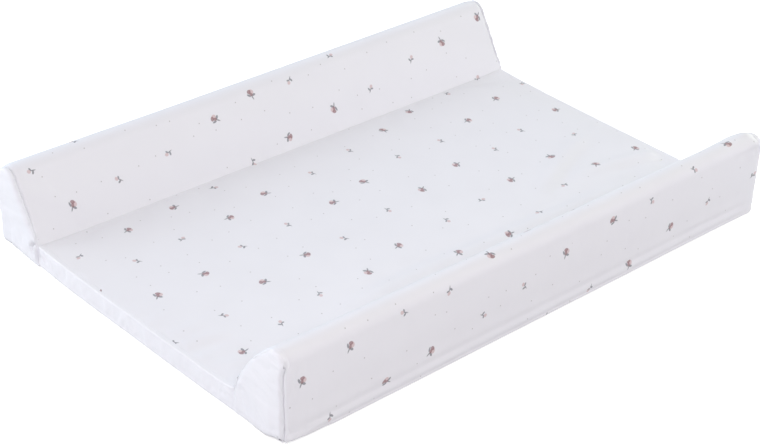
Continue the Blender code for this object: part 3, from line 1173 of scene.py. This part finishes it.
# %% [markdown]
# ## The bottom panel
# The mat rests on a plain film, cut as a rectangle with rounded corners. A grid can be
# bent into that shape: each corner square of it is squeezed into a quarter of a disc.
# Within the last six millimetres the weld lifts the film against the cover's hem.

# %% Cut the bottom panel
bottom_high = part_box("bottom_panel")[1]
bottom_columns = 61
bottom_rows = 91
bottom_corner = 0.012
weld_band = 0.006


def bottom_point(column, row):
    """A point of the bottom panel, whose points stand closer together near its edges."""
    x = bottom_high.x * math.sin(math.pi * (column / (bottom_columns - 1) - 0.5))
    y = bottom_high.y * math.sin(math.pi * (row / (bottom_rows - 1) - 0.5))
    over_x = (abs(x) - bottom_high.x) / bottom_corner + 1
    over_y = (abs(y) - bottom_high.y) / bottom_corner + 1
    if over_x > 0 and over_y > 0:
        squeeze = max(over_x, over_y) / math.hypot(over_x, over_y)
        x = math.copysign(bottom_high.x + bottom_corner * (over_x * squeeze - 1), x)
        y = math.copysign(bottom_high.y + bottom_corner * (over_y * squeeze - 1), y)
    inside = min(bottom_high.x - abs(x), bottom_high.y - abs(y))
    return Vector((x, y, film_gap * smooth_step(-inside, -weld_band - 0.001, -weld_band)))


builder = grid_builder(bottom_columns, bottom_rows, bottom_point)
bottom_film = new_piece("bottom_film", builder, Vector((0.0, 0.0, -1.0)))
give_thickness(bottom_film, film_thickness)
for vert in bottom_film.data.vertices:
    vert.co = as_it_lies(vert.co)
print("bottom panel:", round(2 * bottom_high.x, 3), "by", round(2 * bottom_high.y, 3))

# %% [markdown]
# ## Foam and fleece inside
# Nobody sees the filling unless the cover is opened, but it carries the shape. Each foam
# bar is the outline moved inwards, closed along the slab, and each fleece is a sheet
# between the foam and the film.

# %% Fill the cover
core_depth = hem_level + fleece_thickness + film_gap
slab_top = pad_thickness - core_depth
wedge_base = slab_top + film_gap
inner_end = film_end - 0.0065
edge_inset = 0.0048
chamfer_width = 0.0030
chamfer_top = 0.0048
slab_bottom = 0.0018
foot_gap = 0.005
inner_rows = [-1.0, -0.96, -0.9, -0.84, -0.5, 0.0, 0.5, 0.84, 0.9, 0.96, 1.0]


def moved_in(points, depth):
    """A line moved into the mat, with mitred corners."""
    result = []
    for index, point in enumerate(points):
        normals = []
        for start, end in ((max(index - 1, 0), index), (index, min(index + 1, len(points) - 1))):
            way = points[end] - points[start]
            if way.length > 0:
                way.normalize()
                normals.append(Vector((-way.y, way.x)))
        first = normals[0]
        last = normals[-1]
        result.append(point - (first + last) / (1 + first.dot(last)) * depth)
    return result


def wedge_inside(side, fullness, depth):
    """Over one wedge at a depth, from the slab at its foot to its outer side."""
    stretches = half_outline(wedges[side], fullness, plain_steps)
    over = moved_in(joined(stretches, ["foot", "slope", "ridge", "side"]), depth)[2:-1]
    way = (over[1] - over[0]).normalized()
    low = over[0] - way * (over[0].y - wedge_base) / way.y
    return [low] + over + [Vector((over[-1].x, wedge_base))]


def pad_inside(fullness, depth):
    """Across the lying surface at a depth, from foot to foot."""
    line = []
    for side in (-1, 1):
        stretches = half_outline(wedges[side], fullness, plain_steps)
        half = moved_in(joined(stretches, ["flat"]), depth)
        half[0] = Vector((0.0, half[0].y))
        stop = half_width - wedges[side]["base"] - foot_gap
        half = half[:-1] + [Vector((stop, half[-1].y - 0.0004))]
        line = line + half if side > 0 else mirrored(half)[:-1]
    return line


def inner_piece(name, line_at, closed):
    """A foam bar or a fleece sheet along the whole mat, from its line at each fullness."""
    places = [share * inner_end for share in inner_rows]
    lines = [line_at(fullness_at(place)) for place in places]
    if closed:
        lines = [line + line[:1] for line in lines]

    def place_of(column, row):
        point = lines[row][column]
        return as_it_lies(Vector((point.x, places[row], point.y)))

    if closed:
        return new_piece(name, bar_builder(len(lines[0]), len(places), place_of))
    return new_piece(name, grid_builder(len(lines[0]), len(places), place_of), Vector((0.0, 0.0, 1.0)))


def sided(line, side):
    """A right-hand line, or its mirror image for the left."""
    return line if side > 0 else mirrored(line)


def slab_line(fullness):
    """The slab's outline: crowned on top, upright at its edges, chamfered at the bottom."""
    outer = half_width - edge_inset
    chamfer = [Vector((outer, chamfer_top)), Vector((outer - chamfer_width, slab_bottom))]
    edge = [Vector((outer, slab_top)), *chamfer]
    return pad_inside(fullness, core_depth) + edge + mirrored(edge)


foam_slab = inner_piece("foam_slab", slab_line, True)
pad_fleece = inner_piece("pad_fleece", lambda fullness: pad_inside(fullness, hem_level), False)
foam_bars = {}
wedge_fleeces = {}
for side, side_name in side_names.items():
    def foam_line(fullness):
        """The foam bar's outline on one side."""
        return sided(wedge_inside(side, fullness, core_depth), side)

    def fleece_line(fullness):
        """The fleece's line over one wedge."""
        return sided(wedge_inside(side, fullness, hem_level), side)

    foam_bars[side] = inner_piece("foam_bar_" + side_name, foam_line, True)
    wedge_fleeces[side] = inner_piece("wedge_fleece_" + side_name, fleece_line, False)
for piece in (pad_fleece, *wedge_fleeces.values()):
    give_thickness(piece, fleece_thickness)
print("inside:", foam_slab.name, pad_fleece.name, [piece.name for piece in foam_bars.values()])

# %% [markdown]
# ## Helpers for materials
# A procedural material is a small machine of nodes. These helpers set a node, its inputs
# and its links in one line, so a recipe can be read from top to bottom.

# %% Wire nodes with few words
def new_material(name):
    """A material with one Principled shader, and that shader."""
    material = bpy.data.materials.new(name)
    material.use_nodes = True
    shader = material.node_tree.nodes["Principled BSDF"]
    return material, shader


def node(tree, kind, inputs=None, **settings):
    """Add a node; inputs are values or the outputs of other nodes."""
    made = tree.nodes.new(kind)
    for name, value in settings.items():
        setattr(made, name, value)
    for key, value in (inputs or {}).items():
        socket = made.inputs[key]
        if isinstance(value, bpy.types.NodeSocket):
            tree.links.new(value, socket)
        else:
            socket.default_value = value
    return made


def maths(tree, operation, *values):
    """The output of a Math node."""
    made = node(tree, "ShaderNodeMath", dict(enumerate(values)), operation=operation)
    return made.outputs[0]


def ramp(tree, value, low, high, start=0.0, end=1.0):
    """A soft step of a value from low to high."""
    made = node(
        tree, "ShaderNodeMapRange",
        {"Value": value, "From Min": low, "From Max": high, "To Min": start, "To Max": end},
        interpolation_type="SMOOTHSTEP",
    )
    return made.outputs["Result"]


def blended(tree, share, first, second):
    """A mix of two colours."""
    made = node(tree, "ShaderNodeMix", {"Factor": share}, data_type="RGBA")
    for socket, value in ((made.inputs[6], first), (made.inputs[7], second)):
        if isinstance(value, bpy.types.NodeSocket):
            tree.links.new(value, socket)
        else:
            socket.default_value = (*value, 1.0)
    return made.outputs[2]


def cloudy(tree, place, size, detail=2.0):
    """Noise whose patches are about one size."""
    inputs = {"Vector": place, "Scale": 1 / size, "Detail": detail}
    return node(tree, "ShaderNodeTexNoise", inputs).outputs["Fac"]


def bumped(tree, height, distance, strength=1.0, below=None):
    """A bump of a height field, on top of another one where given."""
    inputs = {"Height": height, "Distance": distance, "Strength": strength}
    if below is not None:
        inputs["Normal"] = below
    return node(tree, "ShaderNodeBump", inputs).outputs["Normal"]


# %% [markdown]
# ## The print
# The top film carries a fine print: small rosebuds and sprigs scattered over white, with
# tiny dots between them. A picture could be laid on the film, but a drawing in nodes
# stays sharp at any distance. The flat pattern is divided into slanting cells. Each
# cell turns its own motif by its own angle, and a motif is a handful of soft-edged
# petals, which are plain ellipses measured in metres on the film.

# %% Draw the rosebud and sprig print
film_white = (0.800, 0.798, 0.835)
bud_rose = (0.27, 0.135, 0.145)
bud_pink = (0.62, 0.47, 0.48)
leaf_grey = (0.17, 0.175, 0.195)
dot_grey = (0.40, 0.385, 0.385)
cell_width = 0.074
cell_height = 0.056
cell_drift = (0.018, 0.014)
motif_scale = 1.3
motif_ink = 0.82
print_turn = math.radians(24)
dot_spacing = 0.037
dot_edge = (0.00055, 0.00095)
dot_ink = 0.7
dot_free = (0.0105, 0.0115)


def petal(tree, x, y, place, turn, length, width, soft=0.00025):
    """A soft-edged ellipse at a place of the motif, turned by an angle."""
    across = maths(tree, "SUBTRACT", x, place[0])
    up = maths(tree, "SUBTRACT", y, place[1])
    cosine = math.cos(turn)
    sine = math.sin(turn)
    lengthwise = maths(tree, "MULTIPLY_ADD", across, cosine, maths(tree, "MULTIPLY", up, sine))
    sideways = maths(tree, "MULTIPLY_ADD", up, cosine, maths(tree, "MULTIPLY", across, -sine))
    lengthwise = maths(tree, "DIVIDE", lengthwise, length)
    sideways = maths(tree, "DIVIDE", sideways, width)
    square = maths(tree, "MULTIPLY", sideways, sideways)
    square = maths(tree, "MULTIPLY_ADD", lengthwise, lengthwise, square)
    return ramp(tree, maths(tree, "SQRT", square), 1 + soft / width, 1 - soft / width)


def drifted(tree, place, chance, reach):
    """A place in the cell, moved by chance by up to half the reach."""
    centred = maths(tree, "SUBTRACT", chance, 0.5)
    return maths(tree, "ADD", place, maths(tree, "MULTIPLY", centred, reach))


def motif_place(tree):
    """The flat place, the cell's own turned coordinates, its kind, and how far its middle is."""
    flat = node(tree, "ShaderNodeUVMap", uv_map=film_map).outputs["UV"]
    slanted = node(
        tree, "ShaderNodeMapping",
        {"Vector": flat, "Rotation": (0.0, 0.0, print_turn), "Location": (0.021, 0.037, 0.0)},
        vector_type="POINT",
    ).outputs["Vector"]
    split = node(tree, "ShaderNodeSeparateXYZ", {"Vector": slanted}).outputs
    row = maths(tree, "DIVIDE", split["Y"], cell_height)
    row_number = maths(tree, "FLOOR", row)
    half_drop = maths(tree, "MULTIPLY", maths(tree, "FLOORED_MODULO", row_number, 2.0), 0.5)
    column = maths(tree, "ADD", maths(tree, "DIVIDE", split["X"], cell_width), half_drop)
    column_number = maths(tree, "FLOOR", column)
    cell = node(tree, "ShaderNodeCombineXYZ", {"X": column_number, "Y": row_number}).outputs["Vector"]
    chance = node(tree, "ShaderNodeTexWhiteNoise", {"Vector": cell}, noise_dimensions="3D").outputs
    drift = node(tree, "ShaderNodeSeparateColor", {"Color": chance["Color"]}).outputs
    across = maths(tree, "SUBTRACT", maths(tree, "SUBTRACT", column, column_number), 0.5)
    up = maths(tree, "SUBTRACT", maths(tree, "SUBTRACT", row, row_number), 0.5)
    across = maths(tree, "MULTIPLY", across, cell_width)
    up = maths(tree, "MULTIPLY", up, cell_height)
    across = drifted(tree, across, drift["Red"], cell_drift[0])
    up = drifted(tree, up, drift["Green"], cell_drift[1])
    turn = maths(tree, "MULTIPLY", drift["Blue"], 2 * math.pi)
    cosine = maths(tree, "COSINE", turn)
    sine = maths(tree, "SINE", turn)
    x = maths(tree, "ADD", maths(tree, "MULTIPLY", across, cosine), maths(tree, "MULTIPLY", up, sine))
    y = maths(tree, "SUBTRACT", maths(tree, "MULTIPLY", up, cosine), maths(tree, "MULTIPLY", across, sine))
    kind = maths(tree, "FLOORED_MODULO", maths(tree, "ADD", column_number, row_number), 2.0)
    square = maths(tree, "ADD", maths(tree, "MULTIPLY", x, x), maths(tree, "MULTIPLY", y, y))
    away = maths(tree, "SQRT", square)
    x = maths(tree, "DIVIDE", x, motif_scale)
    y = maths(tree, "DIVIDE", y, motif_scale)
    return flat, x, y, kind, away


def printed_colour(tree):
    """The film's white with the print on it."""
    flat, x, y, kind, away = motif_place(tree)
    colour = film_white
    sprig = maths(tree, "SUBTRACT", 1.0, kind)
    marks = (
        # a rosebud: a bent stem and two leaves, then round petals over them
        (kind, petal(tree, x, y, (0.0032, -0.0022), -0.5, 0.0024, 0.0006), leaf_grey),
        (kind, petal(tree, x, y, (0.0030, 0.0004), 0.9, 0.0021, 0.0011), leaf_grey),
        (kind, petal(tree, x, y, (-0.0006, -0.0030), 0.2, 0.0022, 0.0009), leaf_grey),
        (kind, petal(tree, x, y, (0.0000, 0.0014), 0.3, 0.0024, 0.0020), bud_pink),
        (kind, petal(tree, x, y, (-0.0020, 0.0000), 1.2, 0.0022, 0.0016), bud_rose),
        (kind, petal(tree, x, y, (0.0006, -0.0008), 0.0, 0.0019, 0.0014), bud_rose),
        # a sprig: a stem with two leaves and a pale bud
        (sprig, petal(tree, x, y, (0.0004, -0.0012), 1.3, 0.0026, 0.0005), leaf_grey),
        (sprig, petal(tree, x, y, (-0.0012, -0.0006), 2.5, 0.0016, 0.0009), leaf_grey),
        (sprig, petal(tree, x, y, (0.0022, 0.0006), 0.3, 0.0014, 0.0008), leaf_grey),
        (sprig, petal(tree, x, y, (0.0010, 0.0024), 1.0, 0.0018, 0.0015), bud_pink),
    )
    for kind_share, mask, mark_colour in marks:
        share = maths(tree, "MULTIPLY", maths(tree, "MULTIPLY", kind_share, mask), motif_ink)
        colour = blended(tree, share, colour, mark_colour)
    dots = node(
        tree, "ShaderNodeTexVoronoi", {"Vector": flat, "Scale": 1 / dot_spacing, "Randomness": 0.72},
        voronoi_dimensions="2D", feature="F1",
    ).outputs["Distance"]
    dot_mask = ramp(tree, dots, dot_edge[1] / dot_spacing, dot_edge[0] / dot_spacing)
    clear_of_motif = ramp(tree, away, *dot_free)
    dot_share = maths(tree, "MULTIPLY", maths(tree, "MULTIPLY", dot_mask, clear_of_motif), dot_ink)
    return blended(tree, dot_share, colour, dot_grey)


# %% [markdown]
# ## Coated film
# The film is a soft plastic with a satin skin. Up close it has a fine pressed grain, and
# over a hand's width it is faintly uneven, which breaks up its reflections. The same
# recipe serves every film, with its own colour, gloss and depth of grain.

# %% Make the films' materials
def coated_film(name, colour, roughness, grain, printed=False):
    """A satin plastic film with a pressed grain and slight unevenness."""
    material, shader = new_material(name)
    tree = material.node_tree
    place = node(tree, "ShaderNodeTexCoord").outputs["Object"]
    patches = cloudy(tree, place, 0.035, 3.0)
    fine = cloudy(tree, place, 0.0007, 3.0)
    dents = cloudy(tree, place, 0.012, 4.0)
    if printed:
        cloud = (0.70, 0.70, 0.76)
        colour = printed_colour(tree)
        share = ramp(tree, patches, 0.35, 0.75, 0.0, 0.035)
    else:
        cloud = tuple(0.965 * part for part in colour)
        share = ramp(tree, patches, 0.35, 0.75, 0.0, 0.5)
    base = blended(tree, share, colour, cloud)
    tree.links.new(base, shader.inputs["Base Color"])
    rough = ramp(tree, patches, 0.3, 0.7, roughness - 0.04, roughness + 0.05)
    tree.links.new(rough, shader.inputs["Roughness"])
    soft = bumped(tree, dents, 0.0002, 0.6)
    pressed_grain = bumped(tree, fine, grain, 0.5, soft)
    tree.links.new(pressed_grain, shader.inputs["Normal"])
    shader.inputs["IOR"].default_value = 1.46
    return material


printed_film = coated_film("printed_film_satin", film_white, 0.46, 0.00006, printed=True)
plain_film = coated_film("plain_film_satin", (0.80, 0.803, 0.845), 0.44, 0.00006)
welt_film = coated_film("welt_film_pressed", (0.815, 0.815, 0.855), 0.38, 0.00012)
base_film = coated_film("base_film_matt", (0.77, 0.77, 0.80), 0.55, 0.00010)

# %% [markdown]
# ## Fleece and foam
# Fleece is a mat of short fibres: noise stretched three ways over a soft sheen, with painted shade that
# makes its lower fibres darker. Foam is full of small cells, which Voronoi noise draws both as painted
# shade, darker in their pits, and as bump.

# %% Make the fillings' materials
def fleece_material():
    """White polyester fleece with crossing fibres."""
    material, shader = new_material("fleece_fibres")
    tree = material.node_tree
    place = node(tree, "ShaderNodeTexCoord").outputs["Object"]
    heights = []
    for turn in (0.0, 1.1, 2.2):
        stretched = node(
            tree, "ShaderNodeMapping",
            {"Vector": place, "Rotation": (turn, turn * 0.5, turn), "Scale": (1.0, 0.12, 1.0)},
        ).outputs["Vector"]
        heights.append(cloudy(tree, stretched, 0.0009, 2.0))
    height = maths(tree, "MAXIMUM", maths(tree, "MAXIMUM", heights[0], heights[1]), heights[2])
    # painted shade: where the fibres lie lower, the white fleece is coloured darker
    colour = blended(tree, ramp(tree, height, 0.45, 0.75), (0.72, 0.72, 0.71), (0.88, 0.88, 0.87))
    tree.links.new(colour, shader.inputs["Base Color"])
    tree.links.new(bumped(tree, height, 0.0005, 0.8), shader.inputs["Normal"])
    shader.inputs["Roughness"].default_value = 0.95
    shader.inputs["Sheen Weight"].default_value = 0.25
    return material


def foam_material():
    """Cream upholstery foam with small open cells."""
    material, shader = new_material("foam_cells")
    tree = material.node_tree
    place = node(tree, "ShaderNodeTexCoord").outputs["Object"]
    cells = node(tree, "ShaderNodeTexVoronoi", {"Vector": place, "Scale": 900.0}).outputs["Distance"]
    patches = cloudy(tree, place, 0.05, 3.0)
    # painted shade: the foam is coloured darker in the pits of its cells
    pit_shade = ramp(tree, cells, 0.15, 0.55)
    colour = blended(tree, pit_shade, (0.80, 0.76, 0.62), (0.62, 0.58, 0.45))
    colour = blended(tree, ramp(tree, patches, 0.3, 0.7, 0.0, 0.3), colour, (0.84, 0.80, 0.66))
    tree.links.new(colour, shader.inputs["Base Color"])
    tree.links.new(bumped(tree, cells, 0.0006, 0.7), shader.inputs["Normal"])
    shader.inputs["Roughness"].default_value = 0.92
    return material


fleece_fibres = fleece_material()
foam_cells = foam_material()

# %% [markdown]
# ## What each piece is
# The frame knows its solids by the names of its nodes. Each dressed piece gets its material, and the nodes
# that it stands for are hidden.

# %% Give each piece its finish and hide the nodes it stands for
dressed = []


def dress(piece, material, slot_name, *nodes):
    """Give a piece its material, and hide the CAD nodes that it stands for; the slot name is not used."""
    dressed.append(piece.name)
    piece.data.materials.append(material)
    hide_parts(*nodes)


dress(top_film, printed_film, "printed_film", "printed_top_panel")
dress(bottom_film, base_film, "base_film", "bottom_panel")
dress(foam_slab, foam_cells, "foam", "foam_base_slab")
dress(pad_fleece, fleece_fibres, "fleece", "fleece_base_layer")
for end, end_name in end_names.items():
    dress(strips[end], plain_film, "plain_film", "end_strip_" + end_name)
    dress(welts[end], welt_film, "welt_film", "edge_welt_" + end_name)
for side, side_name in side_names.items():
    dress(foam_bars[side], foam_cells, "foam", "foam_wedge_" + side_name)
    dress(wedge_fleeces[side], fleece_fibres, "fleece", "fleece_wrap_" + side_name)
    for end, end_name in end_names.items():
        where = side_name + "_" + end_name
        dress(caps[side, end], plain_film, "plain_film", "end_cap_" + where)
        dress(join_welts[side, end], welt_film, "welt_film", "join_welt_" + where)

print("dressed pieces:", len(dressed))

# %% [markdown]
# ### The soft pieces
# A film or a fleece is a flat cut that something holds in shape, and foam is a filling.
# The loops below only look up each wedge and measure the length of its fleece's cut.


for end in end_names:
    for side in side_names:
        wedge = wedges[side]
for side in side_names:
    over = path_lengths(wedge_inside(side, 0.0, hem_level))[-1]

# %% [markdown]
# ## Floor and light
# The mat stands on a pale floor. The floor and the world glow faintly, and only for the
# camera and in reflections, so they read as white and still the mat is lit by its lamps
# alone and throws its shadow.

# %% Lay the floor
floor_size = 6.0
floor_drop = 0.0002
floor_glow = 0.55
floor_builder = bmesh.new()
bmesh.ops.create_grid(floor_builder, x_segments=8, y_segments=8, size=floor_size)
bmesh.ops.translate(floor_builder, vec=(0.0, 0.0, -floor_drop), verts=floor_builder.verts)
floor_mesh = bpy.data.meshes.new("floor")
floor_builder.to_mesh(floor_mesh)
floor_builder.free()
floor = bpy.data.objects.new("floor", floor_mesh)
bpy.context.collection.objects.link(floor)
floor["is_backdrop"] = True


def seen_directly(tree):
    """1 where the camera sees a surface, or sees it in or through another one."""
    path = node(tree, "ShaderNodeLightPath").outputs
    mirrored_or_through = maths(tree, "MAXIMUM", path["Is Glossy Ray"], path["Is Transmission Ray"])
    return maths(tree, "MAXIMUM", path["Is Camera Ray"], mirrored_or_through)


def floor_material():
    """A pale floor that glows a little towards the camera and in reflections."""
    material, shader = new_material("pale_floor")
    tree = material.node_tree
    shader.inputs["Base Color"].default_value = (0.80, 0.80, 0.80, 1.0)
    shader.inputs["Roughness"].default_value = 0.9
    shader.inputs["Specular IOR Level"].default_value = 0.1
    strength = maths(tree, "MULTIPLY", seen_directly(tree), floor_glow)
    glow = node(tree, "ShaderNodeEmission", {"Color": (1.0, 1.0, 1.0, 1.0), "Strength": strength})
    both = node(tree, "ShaderNodeAddShader", {0: shader.outputs[0], 1: glow.outputs[0]})
    output = tree.nodes["Material Output"]
    tree.links.new(both.outputs[0], output.inputs["Surface"])
    return material


floor.data.materials.append(floor_material())
print("floor:", 2 * floor_size, "m wide")

# %% [markdown]
# ### Eight soft lamps
# A white object on white would lose its edges in flat light. Large lamps stand all round,
# five of them low and three high, and the strength and tint of each were worked out so
# that every face of the mat comes out as light as it is in the photograph. The low one
# at the front left is the strongest of its ring, which makes the end panels the
# brightest faces, while the outer side falls off a little.

# %% Light the mat
lamp_size = 1.4
lamp_target = Vector((0.0, 0.0, 0.03))
ambient = 0.30
# each lamp's place, power and colour
lamps = {
    "left_lamp": ((-2.31, 0.0, 0.66), 11.3, (0.43, 0.69, 1.0)),
    "front_left_lamp": ((-1.63, -1.63, 0.66), 19.6, (0.90, 0.97, 1.0)),
    "front_lamp": ((0.0, -2.31, 0.66), 8.3, (0.97, 0.95, 1.0)),
    "back_lamp": ((0.0, 2.31, 0.66), 9.7, (0.89, 1.0, 0.79)),
    "back_right_lamp": ((1.63, 1.63, 0.66), 11.0, (0.84, 0.81, 1.0)),
    "high_right_lamp": ((1.2, -1.2, 1.70), 21.0, (1.0, 0.93, 0.96)),
    "high_left_lamp": ((-1.2, 1.2, 1.70), 11.5, (0.79, 0.84, 1.0)),
    "high_back_lamp": ((1.2, 1.2, 1.70), 8.7, (0.98, 1.0, 0.77)),
}


def soft_lamp(name, place, power, colour):
    """A square lamp that faces the middle of the mat."""
    data = bpy.data.lights.new(name, "AREA")
    data.shape = "SQUARE"
    data.size = lamp_size
    data.energy = power
    data.color = colour
    lamp = bpy.data.objects.new(name, data)
    bpy.context.collection.objects.link(lamp)
    facing = (lamp_target - Vector(place)).to_track_quat("-Z", "Y")
    lamp.matrix_world = Matrix.Translation(place) @ facing.to_matrix().to_4x4()


world = bpy.data.worlds.new("studio")
bpy.context.scene.world = world
world.use_nodes = True
world_tree = world.node_tree
background = world_tree.nodes["Background"]
background.inputs["Color"].default_value = (1.0, 1.0, 1.0, 1.0)
seen = seen_directly(world_tree)
strengths = {"Value": seen, "To Min": ambient, "To Max": 1.0}
strength = node(world_tree, "ShaderNodeMapRange", strengths).outputs["Result"]
world_tree.links.new(strength, background.inputs["Strength"])
for lamp_name, (place, power, colour) in lamps.items():
    soft_lamp(lamp_name, place, power, colour)
bpy.context.scene.view_settings.view_transform = "Standard"
print("lamps:", len(lamps))

# %% [markdown]
# ## The boxes
# The box of the dressed mat is printed beside the frame's own, so the two can be compared.

# %% Print the sizes
dressed_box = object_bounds()
for box_name, box in (("frame", cad_box), ("dressed", dressed_box)):
    print(box_name, "box, mm:", [[round(value * 1000, 1) for value in corner] for corner in box])
